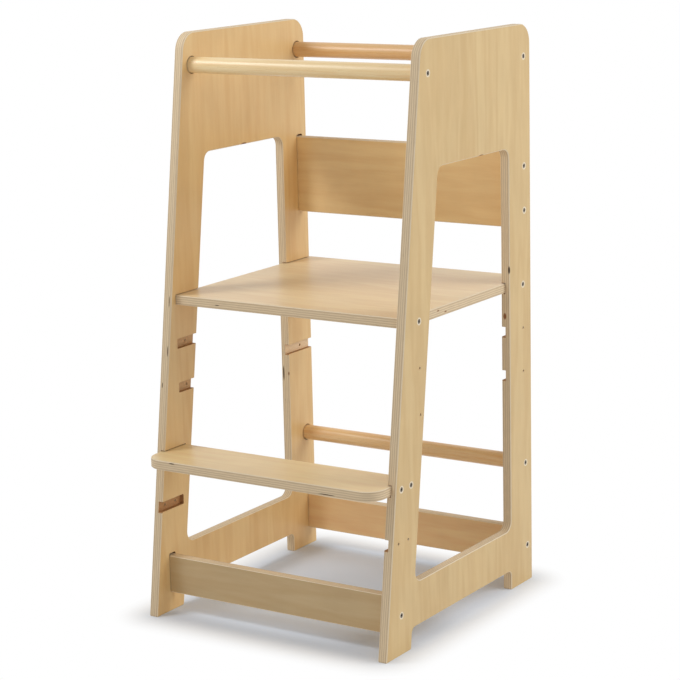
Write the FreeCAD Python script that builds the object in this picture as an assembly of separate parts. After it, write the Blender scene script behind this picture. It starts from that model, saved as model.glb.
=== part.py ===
import FreeCAD, Part

import math
import os

# Kitchen helper stool for a toddler: two plywood side panels joined by boards in
# grooves and by round rods in sockets, every joint pulled tight by screws that
# come in from the outside of the panels.
#
# Frame, in millimetres: the stool stands on z = 0, +Z is up, the step is on the
# -Y side, +X is to the right as seen from the step. x = 0 is the middle plane and
# y = 0 is half way between the nose of the step and the back of the platform.

# Overall sizes
overall_height = 900.0
depth_at_floor = 455.0
depth_at_top = 330.0
inner_width = 406.0

# Side panels
panel_thickness = 15.0
leg_width = 70.0
window_bottom = 100.0
window_below_top = 188.0
arch_height = 32.0
top_corner_radius = 30.0
window_corner_radius = 16.0
arch_corner_radius = 9.0
foot_corner_radius = 2.0
edge_ease = 1.2

# Boards
board_thickness = 15.0
platform_top = 500.0
platform_levels = 3
platform_level_spacing = 70.0
platform_setback = 11.0
platform_overhang = 6.0
platform_corner_radius = 3.0
step_top = 260.0
step_levels = 2
step_level_spacing = 80.0
step_depth = 100.0
step_reach_into_leg = 55.0
step_corner_radius = 30.0
backrest_above_platform = 82.0
backrest_height = 125.0
stretcher_above_floor = 31.0
stretcher_height = 60.0
front_stretcher_inset = 36.5
rear_stretcher_inset = 15.5

# Rods
rod_diameter = 25.0
top_rail_below_top = 50.0
lower_rail_height = 200.0
front_rail_inset = 26.0
rear_line_inset = 20.5

# Grooves, slots and sockets in the inner faces of the panels
groove_depth = 7.0
groove_clearance = 1.0
slot_side_clearance = 0.7
slot_top_relief = 3.0
board_end_clearance = 0.3
socket_clearance = 1.3

# Screws
screw_length = 40.0
screw_diameter = 4.0
screw_head_diameter = 7.0
screw_recess = 0.3
hex_across_flats = 2.5
hex_depth = 2.0
panel_hole_clearance = 0.5
pilot_clearance = 0.1
countersink_clearance = 0.1
platform_front_screw_inset = 28.0
platform_rear_screw_inset = 32.0
step_rear_screw_inset = 11.5
step_screw_spacing = 27.5
backrest_screw_spacing = 70.0

# Places worked out from the sizes above
cutter_overrun = 5.0
inner_face = inner_width / 2
outer_face = inner_face + panel_thickness
groove_floor = inner_face + groove_depth
board_end = groove_floor - board_end_clearance
# small enough for the bevelled corner of a board to reach the stop of its groove
groove_corner_radius = edge_ease + groove_clearance / 2
front_slope = (depth_at_floor - depth_at_top) / overall_height
window_top = overall_height - window_below_top
top_rail_height = overall_height - top_rail_below_top
slanted_leg_width = leg_width * math.hypot(1.0, front_slope)
step_nose_past_feet = (
    step_depth - step_reach_into_leg - front_slope * (step_top - board_thickness / 2)
)
front_reach = depth_at_floor + max(step_nose_past_feet, 0.0)
rear_edge = (front_reach - platform_overhang) / 2


def front_edge(height):
    """y of the slanted front edge of a side panel at a height."""
    return rear_edge - depth_at_floor + front_slope * height


def window_front(height):
    """y of the window edge that runs parallel to the slanted front edge."""
    return front_edge(height) + slanted_leg_width


window_rear = rear_edge - leg_width
rear_line = rear_edge - rear_line_inset
front_rail_line = front_edge(top_rail_height) + front_rail_inset
front_stretcher_line = (
    front_edge(stretcher_above_floor + stretcher_height / 2) + front_stretcher_inset
)
rear_stretcher_line = rear_edge - rear_stretcher_inset
platform_front = front_edge(platform_top) + platform_setback
platform_rear = rear_edge + platform_overhang
backrest_bottom = platform_top + backrest_above_platform


def platform_level(level):
    """Height of the platform's underside in one of its positions, 0 the highest."""
    return platform_top - board_thickness - level * platform_level_spacing


def step_level(level):
    """Height of the step's underside in one of its positions, 0 the higher."""
    return step_top - board_thickness - level * step_level_spacing


def step_rear(level):
    """y of the step's rear edge: it reaches equally far into the leg at each level."""
    return front_edge(step_level(level) + board_thickness / 2) + step_reach_into_leg


# Outlines in the YZ plane

def rounded_outline(corners, x):
    """Closed wire at x through (y, z, radius) corners, with an arc in each corner."""
    points = [FreeCAD.Vector(x, y, z) for y, z, radius in corners]
    radii = [radius for y, z, radius in corners]
    edges = []
    runs = []
    for index, corner in enumerate(points):
        to_last = (points[index - 1] - corner).normalize()
        to_next = (points[(index + 1) % len(points)] - corner).normalize()
        half_angle = to_last.getAngle(to_next) / 2
        setback = radii[index] / math.tan(half_angle)
        start = corner + to_last * setback
        end = corner + to_next * setback
        bisector = (to_last + to_next).normalize()
        nearest = corner + bisector * (radii[index] / math.sin(half_angle) - radii[index])
        runs.append((start, nearest, end))
    for index, (start, nearest, end) in enumerate(runs):
        next_start = runs[(index + 1) % len(runs)][0]
        edges.append(Part.Arc(start, nearest, end).toShape())
        edges.append(Part.LineSegment(end, next_start).toShape())
    return Part.Wire(edges)


def extruded(corners, x_from, x_to):
    """Solid between two x planes with a rounded outline."""
    face = Part.Face(rounded_outline(corners, x_from))
    return face.extrude(FreeCAD.Vector(x_to - x_from, 0, 0))


def eased(solid, is_arris):
    """The solid with a small bevel along every edge that the test picks."""
    return solid.makeChamfer(edge_ease, [edge for edge in solid.Edges if is_arris(edge)])


# Cutters for the right-hand panel

def groove_cutter(y_from, y_to, z_from, z_to, top_radius=groove_corner_radius):
    """Router cut into the inner face, with small corners at the bottom where a board rests."""
    corners = [
        (y_from, z_from, groove_corner_radius),
        (y_to, z_from, groove_corner_radius),
        (y_to, z_to, top_radius),
        (y_from, z_to, top_radius),
    ]
    return extruded(corners, inner_face - cutter_overrun, groove_floor)


def platform_groove(level):
    """Stopped in the front leg, right through the rear leg: the board enters from behind."""
    underside = platform_level(level)
    return groove_cutter(
        platform_front - groove_clearance,
        rear_edge + cutter_overrun,
        underside,
        underside + board_thickness + groove_clearance,
    )


def step_groove(level):
    """Open at the slanted front edge and stopped in the leg: the step enters from in front."""
    underside = step_level(level)
    return groove_cutter(
        front_edge(underside) - slanted_leg_width,
        step_rear(level) + groove_clearance,
        underside,
        underside + board_thickness + groove_clearance,
    )


def upright_slot(line, bottom, height):
    """Stopped slot for the end of a board on edge: it rests on the bottom, with relief above."""
    half = board_thickness / 2 + slot_side_clearance
    return groove_cutter(
        line - half,
        line + half,
        bottom,
        bottom + height + slot_top_relief,
        slot_top_relief,
    )


def rail_socket(line, height):
    """Blind round socket for the end of a rod."""
    return Part.makeCylinder(
        rod_diameter / 2 + socket_clearance,
        groove_depth + cutter_overrun,
        FreeCAD.Vector(inner_face - cutter_overrun, line, height),
        FreeCAD.Vector(1, 0, 0),
    )


def panel_hole(line, height):
    """Clearance hole for a screw, through the panel."""
    return Part.makeCylinder(
        (screw_diameter + panel_hole_clearance) / 2,
        panel_thickness + 2 * cutter_overrun,
        FreeCAD.Vector(inner_face - cutter_overrun, line, height),
        FreeCAD.Vector(1, 0, 0),
    )


def countersink(line, height):
    """Right-angled cone in the outer face that takes the screw head just below the face."""
    mouth = screw_head_diameter / 2 + screw_recess + countersink_clearance
    return Part.makeCone(
        0,
        mouth,
        mouth,
        FreeCAD.Vector(outer_face - mouth, line, height),
        FreeCAD.Vector(1, 0, 0),
    )


# Screw places (y, z), named by the piece that the screws hold

def platform_screw_places(level):
    """One screw in the front leg and one in the rear leg."""
    height = platform_level(level) + board_thickness / 2
    return [
        (platform_front + platform_front_screw_inset, height),
        (platform_rear - platform_rear_screw_inset, height),
    ]


def step_screw_places(level):
    """Two screws side by side in the front leg."""
    height = step_level(level) + board_thickness / 2
    rear_screw = step_rear(level) - step_rear_screw_inset
    return [(rear_screw - step_screw_spacing, height), (rear_screw, height)]


backrest_middle = backrest_bottom + backrest_height / 2
stretcher_middle = stretcher_above_floor + stretcher_height / 2
screw_places = {
    "front_top_rail": [(front_rail_line, top_rail_height)],
    "rear_top_rail": [(rear_line, top_rail_height)],
    "lower_rear_rail": [(rear_line, lower_rail_height)],
    "backrest": [
        (rear_line, backrest_middle - backrest_screw_spacing / 2),
        (rear_line, backrest_middle + backrest_screw_spacing / 2),
    ],
    "platform": platform_screw_places(0),
    "step": step_screw_places(0),
    "front_stretcher": [(front_stretcher_line, stretcher_middle)],
    "rear_stretcher": [(rear_stretcher_line, stretcher_middle)],
}


# Side panels

def panel_blank():
    """Right-hand panel with its window and arch, before any groove or hole."""
    outline = [
        (front_edge(0), 0, foot_corner_radius),
        (front_edge(overall_height), overall_height, top_corner_radius),
        (rear_edge, overall_height, top_corner_radius),
        (rear_edge, 0, foot_corner_radius),
        (window_rear, 0, foot_corner_radius),
        (window_rear, arch_height, arch_corner_radius),
        (window_front(arch_height), arch_height, arch_corner_radius),
        (window_front(0), 0, foot_corner_radius),
    ]
    window = [
        (window_front(window_bottom), window_bottom, window_corner_radius),
        (window_front(window_top), window_top, window_corner_radius),
        (window_rear, window_top, window_corner_radius),
        (window_rear, window_bottom, window_corner_radius),
    ]
    board = extruded(outline, inner_face, outer_face)
    opening = extruded(window, inner_face - cutter_overrun, outer_face + cutter_overrun)
    return eased(board.cut(opening), lambda edge: edge.BoundBox.XLength < 1e-6)


def right_panel():
    """The blank with every groove, slot, socket and screw hole cut into it."""
    cutters = [platform_groove(level) for level in range(platform_levels)]
    cutters += [step_groove(level) for level in range(step_levels)]
    cutters.append(upright_slot(rear_line, backrest_bottom, backrest_height))
    for line in (front_stretcher_line, rear_stretcher_line):
        cutters.append(upright_slot(line, stretcher_above_floor, stretcher_height))
    cutters.append(rail_socket(front_rail_line, top_rail_height))
    cutters.append(rail_socket(rear_line, top_rail_height))
    cutters.append(rail_socket(rear_line, lower_rail_height))
    for places in screw_places.values():
        for line, height in places:
            cutters.append(panel_hole(line, height))
            cutters.append(countersink(line, height))
    for level in range(1, platform_levels):
        cutters += [panel_hole(*place) for place in platform_screw_places(level)]
    for level in range(1, step_levels):
        cutters += [panel_hole(*place) for place in step_screw_places(level)]
    panel = panel_blank()
    for cutter in cutters:
        panel = panel.cut(cutter)
    return panel


# Boards and rods: each has a pilot hole in both ends for every screw that holds it

def pilot_holes(places):
    """Blind holes for the screws, from both ends of a piece."""
    radius = (screw_diameter + pilot_clearance) / 2
    tip = outer_face - screw_recess - screw_length - pilot_clearance
    length = board_end + cutter_overrun - tip
    holes = []
    for line, height in places:
        for side in (-1, 1):
            base = FreeCAD.Vector(side * tip, line, height)
            holes.append(Part.makeCylinder(radius, length, base, FreeCAD.Vector(side, 0, 0)))
    return holes


def drilled(piece, places):
    """The piece with its pilot holes."""
    for hole in pilot_holes(places):
        piece = piece.cut(hole)
    return piece


def flat_board(y_from, y_to, underside, front_radius, rear_radius):
    """Level board across the stool with upright corner radii and eased arrises."""
    board = Part.makeBox(
        2 * board_end,
        y_to - y_from,
        board_thickness,
        FreeCAD.Vector(-board_end, y_from, underside),
    )
    for corner_y, radius in ((y_from, front_radius), (y_to, rear_radius)):
        uprights = []
        for edge in board.Edges:
            box = edge.BoundBox
            upright = box.ZLength > board_thickness - 1e-6 and box.YLength < 1e-6
            if upright and abs(box.YMin - corner_y) < 1e-6:
                uprights.append(edge)
        board = board.makeFillet(radius, uprights)
    return eased(board, lambda edge: edge.BoundBox.ZLength < 1e-6)


def board_on_edge(line, bottom, height):
    """Upright board across the stool, its four long arrises eased."""
    board = Part.makeBox(
        2 * board_end,
        board_thickness,
        height,
        FreeCAD.Vector(-board_end, line - board_thickness / 2, bottom),
    )
    return eased(board, lambda edge: edge.BoundBox.XLength > board_end)


def rod(line, height):
    """Round rod that bottoms in both sockets."""
    return Part.makeCylinder(
        rod_diameter / 2,
        2 * groove_floor,
        FreeCAD.Vector(-groove_floor, line, height),
        FreeCAD.Vector(1, 0, 0),
    )


# Screws

def screw(line, height):
    """Countersunk screw with a hexagon socket, its head just below the right-hand panel's face."""
    head_radius = screw_head_diameter / 2
    shank_radius = screw_diameter / 2
    head_depth = head_radius - shank_radius
    profile = [
        FreeCAD.Vector(0, 0, 0),
        FreeCAD.Vector(0, head_radius, 0),
        FreeCAD.Vector(-head_depth, shank_radius, 0),
        FreeCAD.Vector(-screw_length, shank_radius, 0),
        FreeCAD.Vector(-screw_length, 0, 0),
        FreeCAD.Vector(0, 0, 0),
    ]
    blank = Part.Face(Part.makePolygon(profile)).revolve(
        FreeCAD.Vector(0, 0, 0), FreeCAD.Vector(1, 0, 0), 360
    )
    corner_radius = hex_across_flats / 2 / math.cos(math.pi / 6)
    hexagon = []
    for corner in range(7):
        angle = corner * math.pi / 3
        y = corner_radius * math.cos(angle)
        z = corner_radius * math.sin(angle)
        hexagon.append(FreeCAD.Vector(-hex_depth, y, z))
    socket = Part.Face(Part.makePolygon(hexagon)).extrude(
        FreeCAD.Vector(hex_depth + cutter_overrun, 0, 0)
    )
    piece = blank.cut(socket)
    piece.translate(FreeCAD.Vector(outer_face - screw_recess, line, height))
    return piece


def on_left(piece):
    """The same piece on the left-hand side of the stool."""
    return piece.mirror(FreeCAD.Vector(0, 0, 0), FreeCAD.Vector(1, 0, 0))


# The whole stool, one node per piece and one per group of like screws

nodes = {}
nodes["right_side_panel"] = right_panel()
nodes["left_side_panel"] = on_left(nodes["right_side_panel"])
nodes["platform_board"] = drilled(
    flat_board(
        platform_front,
        platform_rear,
        platform_level(0),
        platform_corner_radius,
        platform_corner_radius,
    ),
    screw_places["platform"],
)
nodes["step_board"] = drilled(
    flat_board(
        step_rear(0) - step_depth,
        step_rear(0),
        step_level(0),
        step_corner_radius,
        platform_corner_radius,
    ),
    screw_places["step"],
)
nodes["backrest_board"] = drilled(
    board_on_edge(rear_line, backrest_bottom, backrest_height), screw_places["backrest"]
)
nodes["front_stretcher"] = drilled(
    board_on_edge(front_stretcher_line, stretcher_above_floor, stretcher_height),
    screw_places["front_stretcher"],
)
nodes["rear_stretcher"] = drilled(
    board_on_edge(rear_stretcher_line, stretcher_above_floor, stretcher_height),
    screw_places["rear_stretcher"],
)
for rail in ("front_top_rail", "rear_top_rail", "lower_rear_rail"):
    line, height = screw_places[rail][0]
    nodes[rail] = drilled(rod(line, height), screw_places[rail])
for held_piece, places in screw_places.items():
    right_screws = [screw(line, height) for line, height in places]
    left_screws = [on_left(piece) for piece in right_screws]
    nodes[f"{held_piece}_screws"] = Part.makeCompound(right_screws + left_screws)

os.makedirs("parts", exist_ok=True)
for name, shape in nodes.items():
    shape.exportStep(f"parts/{name}.step")
    box = shape.BoundBox
    print(
        f"{name:28s} solids {len(shape.Solids)} volume {shape.Volume:10.0f} "
        f"x {box.XMin:7.1f} {box.XMax:7.1f} y {box.YMin:7.1f} {box.YMax:7.1f} "
        f"z {box.ZMin:6.1f} {box.ZMax:6.1f}"
    )
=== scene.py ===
# %% [markdown]
# # A toddler's kitchen helper stool
#
# The stool is flat-packed furniture: two plywood side panels, five plywood boards, three
# turned rods and small countersunk screws. Its shapes come finished from the imported model,
# because every piece is rigid and is seen as it was machined. What is left to do here is what
# makes wood look like wood: veneer with upright or lengthways grain, plywood edges that show
# their layers, scorched grooves with painted shade and light on their walls, lacquered rods
# and dull steel.
#
# We load the model first, and read the boxes of its pieces from it where they are needed.

import math

import bpy
from mathutils import Matrix, Vector


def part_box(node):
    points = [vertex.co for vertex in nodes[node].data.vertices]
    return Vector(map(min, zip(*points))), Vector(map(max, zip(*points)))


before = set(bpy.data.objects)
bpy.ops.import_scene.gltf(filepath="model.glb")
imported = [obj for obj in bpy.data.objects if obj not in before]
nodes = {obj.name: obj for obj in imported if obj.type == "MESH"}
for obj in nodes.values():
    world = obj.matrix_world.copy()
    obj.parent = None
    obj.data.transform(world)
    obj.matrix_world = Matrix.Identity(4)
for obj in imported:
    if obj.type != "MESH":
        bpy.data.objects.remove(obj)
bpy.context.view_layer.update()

# %% [markdown]
# ## Measuring the boards
#
# A plywood finish has to know where a board's two faces are, because the layers are counted
# from there. Each board's box gives that, so no size is typed in twice.

# %% Read where the panels and boards are
MILLIMETRE = 0.001
X_AXIS, Y_AXIS, Z_AXIS = range(3)


def span(node, axis):
    """Lowest and highest coordinate of a node along an axis, in metres."""
    low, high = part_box(node)
    return low[axis], high[axis]


inner_face, outer_face = span("right_side_panel", X_AXIS)
panel_thickness = outer_face - inner_face
platform_bottom, platform_top = span("platform_board", Z_AXIS)
board_thickness = platform_top - platform_bottom
panel_front, panel_rear = span("right_side_panel", Y_AXIS)
stool_height = span("right_side_panel", Z_AXIS)[1]
panel_mm = panel_thickness / MILLIMETRE
board_mm = board_thickness / MILLIMETRE
print(f"panels {panel_mm:.1f} mm, boards {board_mm:.1f} mm thick")

# %% [markdown]
# ## Writing shader maths as sums
#
# A node tree that is wired one node at a time is hard to read. Here a socket is wrapped in a
# small class, so that `1 - mask` or `tone * grain` adds the nodes that work it out. Numbers
# use Math nodes, places and directions use Vector Math, and colours use Mix nodes, because a
# Math node would turn a colour grey.

# %% Sockets that can be added and multiplied
class Flow:
    """What flows out of one socket of a shader tree."""

    def __init__(self, tree, socket):
        self.tree = tree
        self.socket = socket

    def joined(self, operation, first, second):
        """The node that combines two values, chosen by what they are."""
        kinds = {kind_of(first), kind_of(second)}
        if "RGBA" in kinds:
            settings = {"data_type": "RGBA", "blend_type": operation}
            pair = [grey(side) for side in (first, second)]
            return self.tree.node("Mix", settings, {0: 1.0, 6: pair[0], 7: pair[1]}, 2)
        if "VECTOR" in kinds:
            pair = [evenly(side) for side in (first, second)]
            return self.tree.node("VectorMath", {"operation": operation}, {0: pair[0], 1: pair[1]})
        return self.tree.node("Math", {"operation": operation}, {0: first, 1: second})

    def __add__(self, other):
        return self.joined("ADD", self, other)

    def __radd__(self, other):
        return self.joined("ADD", other, self)

    def __sub__(self, other):
        return self.joined("SUBTRACT", self, other)

    def __rsub__(self, other):
        return self.joined("SUBTRACT", other, self)

    def __mul__(self, other):
        return self.joined("MULTIPLY", self, other)

    def __rmul__(self, other):
        return self.joined("MULTIPLY", other, self)

    def __truediv__(self, other):
        return self.joined("DIVIDE", self, other)

    def __rtruediv__(self, other):
        return self.joined("DIVIDE", other, self)

    def __abs__(self):
        return self.tree.node("Math", {"operation": "ABSOLUTE"}, {0: self})

    def part(self, axis):
        """One coordinate of a place or direction."""
        return self.tree.node("SeparateXYZ", {}, {0: self}, axis)

    def ramp(self, low, high):
        """0 below the low value, 1 above the high one, and a soft step between them."""
        return self.tree.node(
            "MapRange", {"interpolation_type": "SMOOTHSTEP"}, {0: self, 1: low, 2: high}
        )


def kind_of(value):
    """RGBA for a colour, VECTOR for a place or direction, VALUE for a number."""
    if isinstance(value, Flow):
        return value.socket.type
    if isinstance(value, tuple):
        return "RGBA" if len(value) == 4 else "VECTOR"
    return "VALUE"


def grey(value):
    """A number as a grey of that strength; anything else as it is."""
    return (value, value, value, 1) if isinstance(value, (int, float)) else value


def evenly(value):
    """A number as a vector with it three times; anything else as it is."""
    return (value, value, value) if isinstance(value, (int, float)) else value


print("sockets can now be added, multiplied and compared")

# %% [markdown]
# The tree itself has one method that adds any node: its settings first, because they decide
# which sockets it has, and then the value or link of each socket.

# %% Trees that grow by one method
class Tree:
    """The node tree of a material or of the world."""

    def __init__(self, owner):
        owner.use_nodes = True
        self.nodes = owner.node_tree.nodes
        self.links = owner.node_tree.links
        self.nodes.clear()

    def node(self, kind, settings, sockets, output=0):
        """Adds a node and returns what flows out of one of its sockets."""
        made = self.nodes.new("ShaderNode" + kind)
        for name, value in settings.items():
            setattr(made, name, value)
        for name, value in sockets.items():
            if isinstance(value, Flow):
                self.links.new(value.socket, made.inputs[name])
            else:
                made.inputs[name].default_value = value
        return Flow(self, made.outputs[output]) if made.outputs else None

    def place(self):
        """Where a point of the surface is, in the stool's own frame, in metres."""
        return self.node("TexCoord", {}, {}, "Object")

    def facing(self):
        """Which way the surface looks, in the stool's own frame."""
        return self.node("TexCoord", {}, {}, "Normal")

    def noise(self, place, scale, detail=2.0, rough=0.5):
        """Soft noise from 0 to 1; scale is its grains per metre along each axis."""
        sockets = {"Vector": place * scale, "Scale": 1.0, "Detail": detail, "Roughness": rough}
        return self.node("TexNoise", {}, sockets)

    def blend(self, share, first, second):
        """From the first colour to the second as share goes from 0 to 1."""
        sockets = {0: share, 6: first, 7: second}
        return self.node("Mix", {"data_type": "RGBA"}, sockets, 2)

    def mix(self, share, first, second):
        """The same between two numbers."""
        return self.node("Mix", {"data_type": "FLOAT"}, {0: share, 2: first, 3: second})


print("trees are ready")

# %% [markdown]
# ## Colours from a paint chart
#
# A paint chart gives a colour as three numbers up to 255, as a screen shows it. Shaders work
# with light, which adds up evenly, so each number is turned into its share of light once,
# here.

# %% From paint chart to light
def light_share(level):
    """Share of light for one 0 to 255 level of the screen."""
    share = level / 255
    return share / 12.92 if share <= 0.04045 else ((share + 0.055) / 1.055) ** 2.4


def chart(red, green, blue):
    """A paint chart colour as shaders read it."""
    return (light_share(red), light_share(green), light_share(blue), 1.0)


edge_long = chart(235, 213, 178)
edge_end = chart(207, 181, 145)
edge_glue = chart(160, 130, 96)
# Cream of sanded bare wood, also used as a painted highlight along the rounded edges.
cream_bare_wood_and_highlight = chart(243, 229, 203)
void_brown = chart(66, 47, 30)
knot_brown = chart(142, 92, 54)
groove_front = chart(222, 182, 134)
groove_rear = chart(246, 216, 176)
groove_step = chart(196, 148, 100)
# Scorched groove walls with painted shade: dark where a board fills the seat, and paler as painted
# light where it is empty.
shaded_scorch_wall = chart(134, 88, 50)
lit_scorch_wall = chart(176, 130, 84)
rod_fleck = chart(158, 128, 96)
steel_grey = chart(112, 103, 92)
socket_dark = chart(38, 32, 27)
print("edge layers", [round(share, 3) for share in edge_long[:3]])

# %% [markdown]
# ## Veneer
#
# The faces of the boards are peeled veneer under clear lacquer. Peeled wood has no tight
# rings: it shows broad soft bands along the grain, the contour lines where the knife cut
# through the year rings, short streaks, hair-thin fibres, and slow clouds where the fibres
# tilt and catch the light. Each is a layer of noise, long along the grain and short across it,
# and the contour lines follow the levels of the bands. Every piece is cut from another sheet,
# so each has a pale and a warm tone of its own; these tones also carry painted light and
# shade, so that a piece in shade, such as the front stretcher, is painted darker.

# %% Grain along one axis
def stretched(across, along, grain_axis):
    """Grains per metre along each axis, for noise that is drawn out along the grain."""
    scale = [across, across, across]
    scale[grain_axis] = along
    return tuple(scale)


DRIFT_GRAINS = (10, 4)
BAND_GRAINS = (22, 2.2)
STREAK_GRAINS = (150, 15)
FIBRE_GRAINS = (1100, 40)
CLOUD_GRAINS = (16, 16, 16)
DRIFT = 20 * MILLIMETRE
FIGURE_LINES = 10
BAND_WEIGHT, LINE_WEIGHT, STREAK_WEIGHT = 0.48, 0.16, 0.36
TONE_RANGE = (0.22, 0.78)
BASE_SHADE, CLOUD_SHADE, FIBRE_SHADE = 0.9, 0.14, 0.06
FIBRE_RELIEF, STREAK_RELIEF = 0.7, 0.3


def veneer(tree, place, grain_axis, pale, warm):
    """(colour, height) of a veneered face with its grain along an axis."""
    drift = tree.noise(place, stretched(*DRIFT_GRAINS, grain_axis), 2.0)
    bent = place + (drift - 0.5) * DRIFT
    bands = tree.noise(bent, stretched(*BAND_GRAINS, grain_axis), 2.0, 0.5)
    lines = tree.node("Math", {"operation": "PINGPONG"}, {0: bands * FIGURE_LINES, 1: 1.0})
    streaks = tree.noise(bent, stretched(*STREAK_GRAINS, grain_axis), 3.0, 0.65)
    fibres = tree.noise(place, stretched(*FIBRE_GRAINS, grain_axis), 2.0, 0.6)
    clouds = tree.noise(place, CLOUD_GRAINS, 3.0)
    tone = bands * BAND_WEIGHT + lines.ramp(0.0, 1.0) * LINE_WEIGHT + streaks * STREAK_WEIGHT
    colour = tree.blend(tone.ramp(*TONE_RANGE), pale, warm)
    shade = BASE_SHADE + clouds * CLOUD_SHADE + fibres * FIBRE_SHADE
    return colour * shade, fibres * FIBRE_RELIEF + streaks * STREAK_RELIEF


print(f"bands repeat about every {1000 / BAND_GRAINS[0]:.0f} mm across the grain")

# %% [markdown]
# ## Plywood edges
#
# A sawn edge shows the layers: the grain of one runs along the board and looks pale, the next
# runs across it and shows darker end grain. The layers aren't perfectly even, thin glue lines
# part them, and here and there an inner layer leaves a short dark gap. The rounded corner of
# the board is painted cream, partly as sanded wood and partly as a painted highlight along the
# edge, and just inside it the first glue line shows as a brown thread.

# %% Layers through the thickness
PLIES = 9
EDGE_GRAINS = 55
LAYER_GRAINS = 900
WAVER_GRAINS = (40, 40, 40)
WAVER = 0.8
END_GRAIN_SHARE = 0.7
EDGE_SHADE, FLECK_SHADE = 0.8, 0.36
GLUE_RANGE, GLUE_SHARE = (0.02, 0.14), 0.3
GAP_SCALE, GAP_RANGE = 0.35, (0.775, 0.79)
HIGHLIGHT_ARRIS_WIDTH = 1.0 * MILLIMETRE
FIRST_GLUE = 1.6 * MILLIMETRE
GLUE_WIDTH = 0.5 * MILLIMETRE


def ply_edge(tree, place, depth_share, thickness_axis):
    """(colour, height) of a sawn edge; depth_share runs from 0 to 1 through the board."""
    grain = stretched(EDGE_GRAINS, LAYER_GRAINS, thickness_axis)
    waver = tree.noise(place, WAVER_GRAINS, 2.0)
    layer = depth_share * PLIES + (waver - 0.5) * WAVER
    number = tree.node("Math", {"operation": "FLOOR"}, {0: layer})
    within = layer - number
    odd = tree.node("Math", {"operation": "PINGPONG"}, {0: number, 1: 1.0})
    flecks = tree.noise(place, grain, 3.0, 0.65)
    colour = tree.blend(odd * END_GRAIN_SHARE, edge_long, edge_end)
    colour = colour * (EDGE_SHADE + flecks * FLECK_SHADE)
    glue = 1 - (0.5 - abs(within - 0.5)).ramp(*GLUE_RANGE)
    colour = tree.blend(glue * GLUE_SHARE, colour, edge_glue)
    patches = tree.noise(place, tuple(part * GAP_SCALE for part in grain), 1.0)
    gaps = patches.ramp(*GAP_RANGE) * odd
    colour = tree.blend(gaps, colour, void_brown)
    return colour, flecks - gaps


print(f"{PLIES} plies of {board_mm / PLIES:.1f} mm")

# %% [markdown]
# ## Grooves that the router has scorched, with painted shade
#
# The ends of boards and rods sit in grooves, slots and sockets with a little room round them.
# The cutter scorches their walls, and their colour also carries painted shade: where a board
# fills the seat, the walls are painted dark, so that room shows as a thin dark line round every
# joint. The boards' own boxes say where the seats are, and the lower positions that are empty
# are the same boxes moved down. Their walls are painted paler, as painted light that reaches
# into an open groove.

# %% Where the seats are
PLATFORM_DROP = 70 * MILLIMETRE
STEP_DROP = 80 * MILLIMETRE
GROOVE_ROOM = 1.3 * MILLIMETRE
SLOT_ROOM = 3.6 * MILLIMETRE
SOCKET_ROOM = 1.8 * MILLIMETRE
SEAT_EDGE = 0.2 * MILLIMETRE

seats = [("platform_board", PLATFORM_DROP * level, GROOVE_ROOM) for level in range(3)]
seats += [("step_board", STEP_DROP * level, GROOVE_ROOM) for level in range(2)]
for board in ("backrest_board", "front_stretcher", "rear_stretcher"):
    seats.append((board, 0.0, SLOT_ROOM))
for rod in ("front_top_rail", "rear_top_rail", "lower_rear_rail"):
    seats.append((rod, 0.0, SOCKET_ROOM))


def outside_box(tree, place, middle, half):
    """How far a point lies outside a box, and 0 inside it."""
    offset = tree.node("VectorMath", {"operation": "ABSOLUTE"}, {0: place - tuple(middle)})
    beyond = offset - tuple(half)
    beyond = tree.node("VectorMath", {"operation": "MAXIMUM"}, {0: beyond, 1: (0, 0, 0)})
    return tree.node("VectorMath", {"operation": "LENGTH"}, {0: beyond}, "Value")


def seated(tree, place, taken):
    """1 within the room of the seats that are taken, or of the empty ones, and 0 elsewhere."""
    nearest = 1.0
    for node, drop, room in seats:
        if taken != (drop == 0):
            continue
        low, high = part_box(node)
        middle = (low + high) / 2 - Vector((0, 0, drop))
        half = (high - low) / 2 + Vector((room, room, room))
        away = outside_box(tree, place, middle, half)
        nearest = tree.node("Math", {"operation": "MINIMUM"}, {0: nearest, 1: away})
    return 1 - nearest.ramp(0.0, SEAT_EDGE)


print(f"{len(seats)} seats in each panel")

# %% [markdown]
# ## Small flaws that make it wood
#
# Plywood has a few dark voids where an inner layer had a hole, and a knot or two. They are
# few, and each has its own place, so each is a soft-edged ellipsoid: where the surface passes
# through it, the wood turns dark.

# %% Voids and knots, in millimetres from the stool's origin
FRONT_LEAN = 0.1389
FLAW_CORE, FLAW_RIM = 0.6, 1.1


def on_front_edge(across, height):
    """A place on a panel's leaning front edge."""
    return (across, panel_front / MILLIMETRE + FRONT_LEAN * height, height)


flaws = {
    "left_side_panel": [
        (on_front_edge(-206, 415), (0.9, 4, 10), void_brown),
        (on_front_edge(-213, 362), (0.8, 4, 5), void_brown),
        (on_front_edge(-207, 491), (0.7, 4, 11), void_brown),
        ((-214, 159, 312), (1.5, 3, 14), void_brown),
        ((-203, 158, 312), (3, 3, 5), knot_brown),
        ((-204, 50, 712), (7, 9, 3), knot_brown),
    ],
    "right_side_panel": [
        ((216, 73, 712), (3, 10, 3), knot_brown),
        ((217, 159, 522), (2, 3, 7), void_brown),
        ((209, 159, 448), (3, 3, 6), knot_brown),
    ],
    "step_board": [
        ((127, -235, 248), (16, 4, 0.8), void_brown),
        ((-155, -235, 258), (6, 4, 1.0), void_brown),
    ],
    "platform_board": [
        ((-125, -147, 491), (5, 4, 0.9), void_brown),
        ((209, -48, 495), (3, 4, 1.2), knot_brown),
        ((209, -26, 490), (3, 4, 1.2), knot_brown),
    ],
}


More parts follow.
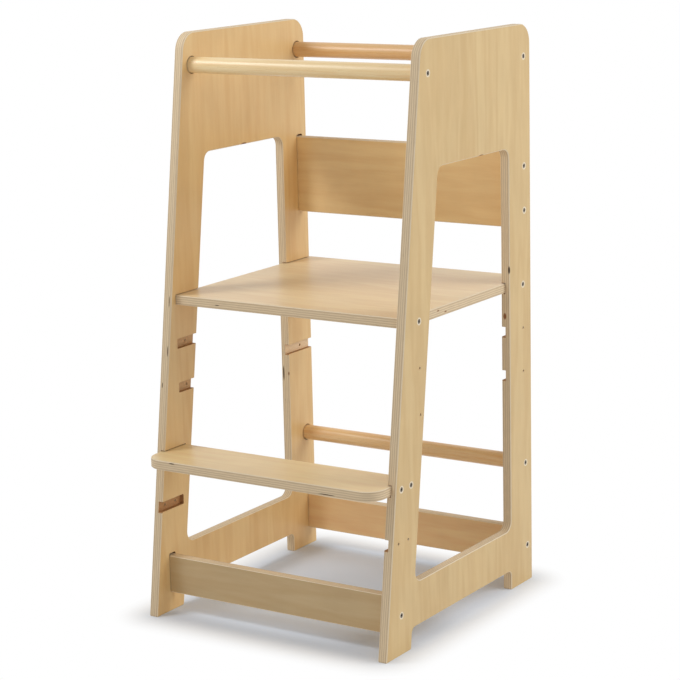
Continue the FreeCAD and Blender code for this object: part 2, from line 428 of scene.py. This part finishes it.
def flawed(tree, place, colour, piece):
    """The colour with the piece's own voids and knots."""
    for middle, half, tint in flaws.get(piece, []):
        offset = place - tuple(part * MILLIMETRE for part in middle)
        offset = offset / tuple(part * MILLIMETRE for part in half)
        away = tree.node("VectorMath", {"operation": "LENGTH"}, {0: offset}, "Value")
        colour = tree.blend(1 - away.ramp(FLAW_CORE, FLAW_RIM), colour, tint)
    return colour


print(f"{sum(len(marks) for marks in flaws.values())} flaws")

# %% [markdown]
# ## Pale rims round the screws
#
# Where a countersink breaks the lacquered face, bare wood shows as a pale rim round the dark
# screw head. A group of screws has one or two on each side, at opposite corners of its box, so
# the boxes give the places of them all.

# %% Screw places and their rims
head_low, head_high = span("front_top_rail_screws", Y_AXIS)
head_radius = (head_high - head_low) / 2
RIM_WIDTH = 2.8 * MILLIMETRE
RIM_CORE = 0.6 * RIM_WIDTH
RIM_SHARE = 0.9

screw_spots = set()
for node in nodes:
    if node.endswith("_screws"):
        low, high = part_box(node)
        screw_spots.add((round(low.y + head_radius, 4), round(low.z + head_radius, 4)))
        screw_spots.add((round(high.y - head_radius, 4), round(high.z - head_radius, 4)))


def rimmed(tree, place, colour, outer_side):
    """The colour with a pale rim of bared wood round each screw head."""
    sideways = place * (0.0, 1.0, 1.0)
    nearest = 1.0
    for spot in sorted(screw_spots):
        away = sideways - (0.0, *spot)
        away = tree.node("VectorMath", {"operation": "LENGTH"}, {0: away}, "Value")
        nearest = tree.node("Math", {"operation": "MINIMUM"}, {0: nearest, 1: away})
    rim = 1 - nearest.ramp(head_radius + RIM_CORE, head_radius + RIM_WIDTH)
    return tree.blend(rim * outer_side * RIM_SHARE, colour, cream_bare_wood_and_highlight)


print(f"{len(screw_spots)} screws a side, heads {2 * head_radius / MILLIMETRE:.1f} mm wide")

# %% [markdown]
# ## One finish for every plywood piece
#
# Face, edge and groove are told apart by where a point lies in the board and which way it
# looks. A point that looks along the thickness and lies at the surface is veneer. One that
# looks the same way but lies deep is the floor of a groove, where the router has laid bare an
# inner layer: redder in the low groove of the step, and paler at the rear. One that looks
# sideways inside a seat is a scorched wall, painted dark as painted shade where a board fills
# the seat and paler as painted light where the seat is empty. The rest is edge.

# %% The plywood finish
FACE_DEPTH = (0.3 * MILLIMETRE, 0.6 * MILLIMETRE)
GROOVE_DEPTH = (3.0 * MILLIMETRE, 3.3 * MILLIMETRE)
FLAT_ON = (0.75, 0.85)
INNER_HALF = (0.47, 0.5)
OUTER_QUARTER = (0.7, 0.75)
FRONT_TO_REAR = (-0.05, 0.05)
STEP_TO_PLATFORM = (0.25, 0.3)
RELIEF = 0.1 * MILLIMETRE
COAT_ROUGHNESS, SPECULAR_LEVEL = 0.28, 0.35
THREAD_SHARE, HIGHLIGHT_ARRIS_SHARE = 0.5, 0.8
SAWN_GRAINS = (160, 500, 500)
SAWN_BASE, SAWN_SHADE = 0.85, 0.3
EDGE_ROUGHNESS, FACE_ROUGHNESS, GRAIN_ROUGHNESS = 0.62, 0.4, 0.08
FACE_COAT, PLYWOOD_BUMP = 0.25, 0.35


def lacquered(tree, colour, roughness, coat, height, bump):
    """Joins colour, roughness and relief in one surface under clear lacquer."""
    normal = tree.node("Bump", {}, {"Strength": bump, "Distance": RELIEF, "Height": height})
    sockets = {
        "Base Color": colour,
        "Roughness": roughness,
        "Coat Weight": coat,
        "Coat Roughness": COAT_ROUGHNESS,
        "Specular IOR Level": SPECULAR_LEVEL,
        "Normal": normal,
    }
    surface = tree.node("BsdfPrincipled", {}, sockets)
    tree.node("OutputMaterial", {}, {"Surface": surface})


def plywood(piece, thickness_axis, faces, grain_axis, shift, tones_with_painted_light, mirrored=False):
    """Plywood whose two faces lie at the given coordinates along the thickness axis."""
    finish = bpy.data.materials.new(f"{piece}_plywood")
    tree = Tree(finish)
    place = tree.place()
    low, high = faces
    thickness = high - low
    level = place.part(thickness_axis)
    if mirrored:
        level = abs(level)
    depth_share = (level - low) / thickness
    depth = (0.5 - abs(depth_share - 0.5)) * thickness
    flat_on = abs(tree.facing().part(thickness_axis)).ramp(*FLAT_ON)
    face = flat_on * (1 - depth.ramp(*FACE_DEPTH))
    groove = flat_on * depth.ramp(*GROOVE_DEPTH)
    shifted = place + shift
    face_colour, face_height = veneer(tree, shifted, grain_axis, *tones_with_painted_light)
    edge_colour, edge_height = ply_edge(tree, shifted, depth_share, thickness_axis)
    thread = 1 - abs(depth - FIRST_GLUE).ramp(0.0, GLUE_WIDTH)
    edge_colour = tree.blend(thread * THREAD_SHARE, edge_colour, edge_glue)
    # Painted highlight: a cream band along the rounded corner, partly sanded wood.
    sanded_arris_and_highlight = 1 - depth.ramp(0.5 * HIGHLIGHT_ARRIS_WIDTH, HIGHLIGHT_ARRIS_WIDTH)
    edge_colour = tree.blend(sanded_arris_and_highlight * HIGHLIGHT_ARRIS_SHARE, edge_colour, cream_bare_wood_and_highlight)
    sawn = tree.noise(shifted, SAWN_GRAINS, 2.0)
    colour = tree.blend(face, edge_colour, face_colour)
    if mirrored:
        inside = 1 - depth_share.ramp(*INNER_HALF)
        walls = inside * (1 - face) * (1 - groove)
        # Painted shade and light on the groove walls: dark in filled seats, paler in empty ones.
        colour = tree.blend(seated(tree, place, False) * walls, colour, lit_scorch_wall)
        colour = tree.blend(seated(tree, place, True) * walls, colour, shaded_scorch_wall)
        colour = rimmed(tree, place, colour, depth_share.ramp(*OUTER_QUARTER))
    bared = tree.blend(place.part(Y_AXIS).ramp(*FRONT_TO_REAR), groove_front, groove_rear)
    bared = tree.blend(place.part(Z_AXIS).ramp(*STEP_TO_PLATFORM), groove_step, bared)
    colour = tree.blend(groove, colour, bared * (SAWN_BASE + sawn * SAWN_SHADE))
    colour = flawed(tree, place, colour, piece)
    face_roughness = FACE_ROUGHNESS + face_height * GRAIN_ROUGHNESS
    roughness = tree.mix(face, EDGE_ROUGHNESS, face_roughness)
    height = tree.mix(face, edge_height, face_height)
    lacquered(tree, colour, roughness, face * FACE_COAT, height, PLYWOOD_BUMP)
    return finish


def dress(node, finish):
    """Gives a node of the model its finish in place of the plain one."""
    for slot in nodes[node].material_slots:
        slot.material = finish
    print(f"{node}: {finish.name}")


# %% [markdown]
# The two panels have upright grain and the boards have theirs across the stool. Each piece is
# cut from another part of the sheet, which a different shift of the pattern gives.

# %% Dress the panels and boards
# Each piece's tones are partly its own sheet and partly painted light and shade: the darker front
# stretcher is painted shade.
tones_with_painted_light = {
    "right_side_panel": (chart(224, 195, 141), chart(212, 178, 122)),
    "left_side_panel": (chart(240, 207, 150), chart(229, 189, 130)),
    "platform_board": (chart(241, 216, 171), chart(229, 197, 150)),
    "step_board": (chart(242, 219, 168), chart(231, 199, 146)),
    "backrest_board": (chart(243, 211, 154), chart(231, 192, 134)),
    "front_stretcher": (chart(204, 179, 135), chart(193, 162, 116)),
    "rear_stretcher": (chart(246, 214, 162), chart(236, 192, 140)),
}
panel_faces = (inner_face, outer_face)
for panel, shift in (("right_side_panel", (0.0, 0.0, 0.0)), ("left_side_panel", (3.1, 1.7, 0.4))):
    dress(panel, plywood(panel, X_AXIS, panel_faces, Z_AXIS, shift, tones_with_painted_light[panel], mirrored=True))

for number, board in enumerate(("platform_board", "step_board")):
    shift = (5.3 + number, 2.9 * number, 1.3)
    dress(board, plywood(board, Z_AXIS, span(board, Z_AXIS), X_AXIS, shift, tones_with_painted_light[board]))

for number, board in enumerate(("backrest_board", "front_stretcher", "rear_stretcher")):
    shift = (8.7 - number, 0.6, 4.1 + 1.9 * number)
    dress(board, plywood(board, Y_AXIS, span(board, Y_AXIS), X_AXIS, shift, tones_with_painted_light[board]))

# %% [markdown]
# ## Turned rods
#
# The rods are solid hardwood, so they have no layers: fine straight streaks run their whole
# length, with short darker flecks where the rays of the wood are cut. The lacquer on them is
# glossier than on the boards, because turned wood is sanded finer.

# %% The rod finish
ROD_STREAK_GRAINS = (9, 260, 260)
ROD_FIBRE_GRAINS = (60, 1400, 1400)
ROD_FLECK_GRAINS = (240, 1900, 1900)
ROD_STREAK_WEIGHT, ROD_FIBRE_WEIGHT = 0.7, 0.3
ROD_TONE_RANGE = (0.25, 0.75)
ROD_FLECK_RANGE, ROD_FLECK_SHARE = (0.68, 0.74), 0.35
ROD_ROUGHNESS, FIBRE_ROUGHNESS = 0.34, 0.1
ROD_COAT, ROD_BUMP = 0.4, 0.25


def turned_wood(rod, shift, pale, warm):
    """Lacquered hardwood rod along X between a pale and a warm tone."""
    finish = bpy.data.materials.new(f"{rod}_hardwood")
    tree = Tree(finish)
    place = tree.place() + shift
    streaks = tree.noise(place, ROD_STREAK_GRAINS, 3.0, 0.6)
    fibres = tree.noise(place, ROD_FIBRE_GRAINS, 2.0, 0.6)
    flecks = tree.noise(place, ROD_FLECK_GRAINS, 1.0)
    tone = streaks * ROD_STREAK_WEIGHT + fibres * ROD_FIBRE_WEIGHT
    colour = tree.blend(tone.ramp(*ROD_TONE_RANGE), pale, warm)
    colour = tree.blend(flecks.ramp(*ROD_FLECK_RANGE) * ROD_FLECK_SHARE, colour, rod_fleck)
    roughness = ROD_ROUGHNESS + fibres * FIBRE_ROUGHNESS
    lacquered(tree, colour, roughness, ROD_COAT, fibres, ROD_BUMP)
    return finish


# The front rail's paler tones are partly a painted highlight.
rods = {
    "front_top_rail": ((0.0, 0.0, 0.0), chart(250, 228, 180), chart(240, 204, 148)),
    "rear_top_rail": ((1.7, 0.3, 0.9), chart(235, 196, 142), chart(222, 172, 112)),
    "lower_rear_rail": ((3.9, 0.8, 0.2), chart(248, 215, 161), chart(236, 187, 128)),
}
for rod, (shift, pale, warm) in rods.items():
    dress(rod, turned_wood(rod, shift, pale, warm))

# %% [markdown]
# ## Screws
#
# Zinc-plated steel is never quite one grey: the plating clouds slightly, and the turned head
# keeps fine scratches. The hexagon sockets hold shadow and dirt, so they are dark.

# %% The screw finish
SOCKET_DEPTH = (0.6 * MILLIMETRE, 1.0 * MILLIMETRE)
CLOUDED_GRAINS = (500, 500, 500)
SCRATCH_GRAINS = (900, 5000, 900)
PLATE_SHADE, PLATE_CLOUDS = 0.8, 0.4
PLATE_ROUGHNESS, SCRATCH_ROUGHNESS = 0.36, 0.2


def plated_steel(name):
    """Dull zinc plate with faint clouds and scratches, dark down in the sockets."""
    finish = bpy.data.materials.new(name)
    tree = Tree(finish)
    place = tree.place()
    sunk = (outer_face - abs(place.part(X_AXIS))).ramp(*SOCKET_DEPTH)
    clouds = tree.noise(place, CLOUDED_GRAINS, 3.0)
    scratches = tree.noise(place, SCRATCH_GRAINS, 2.0)
    plate = steel_grey * (PLATE_SHADE + clouds * PLATE_CLOUDS)
    sockets = {
        "Base Color": tree.blend(sunk, plate, socket_dark),
        "Metallic": 1.0,
        "Roughness": PLATE_ROUGHNESS + scratches * SCRATCH_ROUGHNESS,
    }
    surface = tree.node("BsdfPrincipled", {}, sockets)
    tree.node("OutputMaterial", {}, {"Surface": surface})
    return finish


steel = plated_steel("screw_steel_plate")
for node in sorted(nodes):
    if node.endswith("_screws"):
        dress(node, steel)

# %% [markdown]
# ## Floor
#
# A product photograph stands on a seamless white sheet. The floor is a large plane that takes
# the stool's shadow under and close round it and fades into plain white further away, so no
# horizon shows. Warm wood tints the light that reaches the floor, and a slightly cool paper
# brings its shadow back to grey, as the camera shows it. Only what the camera sees is cool:
# the light that the floor gives back to the wood stays neutral.

# %% The floor
FLOOR_SIZE = 80.0
SHADOW_INSET = 22 * MILLIMETRE
SHADOW_REACH = 0.09
COOL_REACH = 0.07
neutral_paper = (0.93, 0.93, 0.93, 1)
cool_paper = (0.74, 0.81, 0.92, 1)
floor_mesh = bpy.data.meshes.new("floor")
half = FLOOR_SIZE / 2
floor_mesh.from_pydata(
    [(-half, -half, 0), (half, -half, 0), (half, half, 0), (-half, half, 0)], [], [(0, 1, 2, 3)]
)
floor = bpy.data.objects.new("floor", floor_mesh)
bpy.context.scene.collection.objects.link(floor)

floor_paper = bpy.data.materials.new("floor_paper")
tree = Tree(floor_paper)
half_depth = (panel_rear - panel_front) / 2
footprint = (outer_face - SHADOW_INSET, half_depth - SHADOW_INSET, 1.0)
footprint_middle = (0.0, (panel_rear + panel_front) / 2, 0.0)
away = outside_box(tree, tree.place(), footprint_middle, footprint)
camera_rays = tree.node("LightPath", {}, {}, "Is Camera Ray")
rays = camera_rays + tree.node("LightPath", {}, {}, "Is Glossy Ray")
rays = rays + tree.node("LightPath", {}, {}, "Is Transmission Ray")
cool = camera_rays * (1 - away.ramp(0.0, COOL_REACH))
paper = tree.blend(cool, neutral_paper, cool_paper)
matt = tree.node("BsdfDiffuse", {}, {"Color": paper})
white = tree.node("Emission", {}, {"Color": (1, 1, 1, 1), "Strength": 1.0})
faded = tree.node("MixShader", {}, {0: away.ramp(0.0, SHADOW_REACH) * rays, 1: matt, 2: white})
tree.node("OutputMaterial", {}, {"Surface": faded})
floor_mesh.materials.append(floor_paper)
print(f"floor of {FLOOR_SIZE:.0f} m")

# %% [markdown]
# ## Light
#
# Two soft boxes give the light: a large one behind and to the right lights the right panel, and
# a smaller one high to the front left puts the long highlight on the front rod and makes the
# front edges fade from bright at the top to darker at the floor. The white world fills the
# shadows.

# %% Soft boxes
def soft_box(name, place, target, width, height, power):
    """Area light that looks from its place at a target."""
    lamp = bpy.data.lights.new(name, "AREA")
    lamp.shape = "RECTANGLE"
    lamp.size = width
    lamp.size_y = height
    lamp.energy = power
    holder = bpy.data.objects.new(name, lamp)
    holder.location = place
    holder.rotation_euler = (Vector(target) - Vector(place)).to_track_quat("-Z", "Y").to_euler()
    bpy.context.scene.collection.objects.link(holder)
    print(f"{name}: {width} x {height} m, {power} W")


middle = (0.0, 0.0, stool_height / 2)
top_front = (0.0, -0.1, 0.85)
soft_box("rear_right_soft_box", (2.6, 1.2, 2.0), middle, 2.0, 2.0, 40)
soft_box("front_left_soft_box", (-0.85, -0.78, 1.6), top_front, 0.45, 0.6, 8.5)

# %% White world
WORLD_FILL = 0.46
world = bpy.data.worlds.new("studio")
bpy.context.scene.world = world
tree = Tree(world)
rays = tree.node("LightPath", {}, {}, "Is Camera Ray")
rays = rays + tree.node("LightPath", {}, {}, "Is Glossy Ray")
rays = rays + tree.node("LightPath", {}, {}, "Is Transmission Ray")
fill = tree.node("Background", {}, {"Color": (1, 1, 1, 1), "Strength": WORLD_FILL})
white = tree.node("Background", {}, {"Color": (1, 1, 1, 1), "Strength": 1.0})
tree.node("OutputWorld", {}, {"Surface": tree.node("MixShader", {}, {0: rays, 1: fill, 2: white})})
bpy.context.scene.view_settings.view_transform = "Standard"
print(f"world is white, fill {WORLD_FILL}")

# %% [markdown]
# ## Camera
#
# The camera stands in front and to the right, a little above the stool, and is tilted by just
# over a degree. Its place and angles were worked out from the stool's own edges. With a long
# lens the upright edges stay nearly parallel.

# %% The camera
camera_place = (1.8342, -2.8196, 1.1493)
camera_azimuth = math.radians(32.992)
camera_elevation = math.radians(12.223)
camera_roll = math.radians(-1.351)

forward = Vector((
    -math.sin(camera_azimuth) * math.cos(camera_elevation),
    math.cos(camera_azimuth) * math.cos(camera_elevation),
    -math.sin(camera_elevation),
))
level_right = Vector((math.cos(camera_azimuth), math.sin(camera_azimuth), 0.0))
level_up = level_right.cross(forward)
right = level_right * math.cos(camera_roll) + level_up * math.sin(camera_roll)
up = right.cross(forward)
lens = bpy.data.cameras.new("camera")
lens.sensor_width = 36.0
lens.lens = 116.775
camera = bpy.data.objects.new("camera", lens)
turned = Matrix((right, up, -forward)).transposed().to_4x4()
camera.matrix_world = Matrix.Translation(camera_place) @ turned
bpy.context.scene.collection.objects.link(camera)
bpy.context.scene.camera = camera
print(f"camera at {camera_place}, lens {lens.lens} mm")
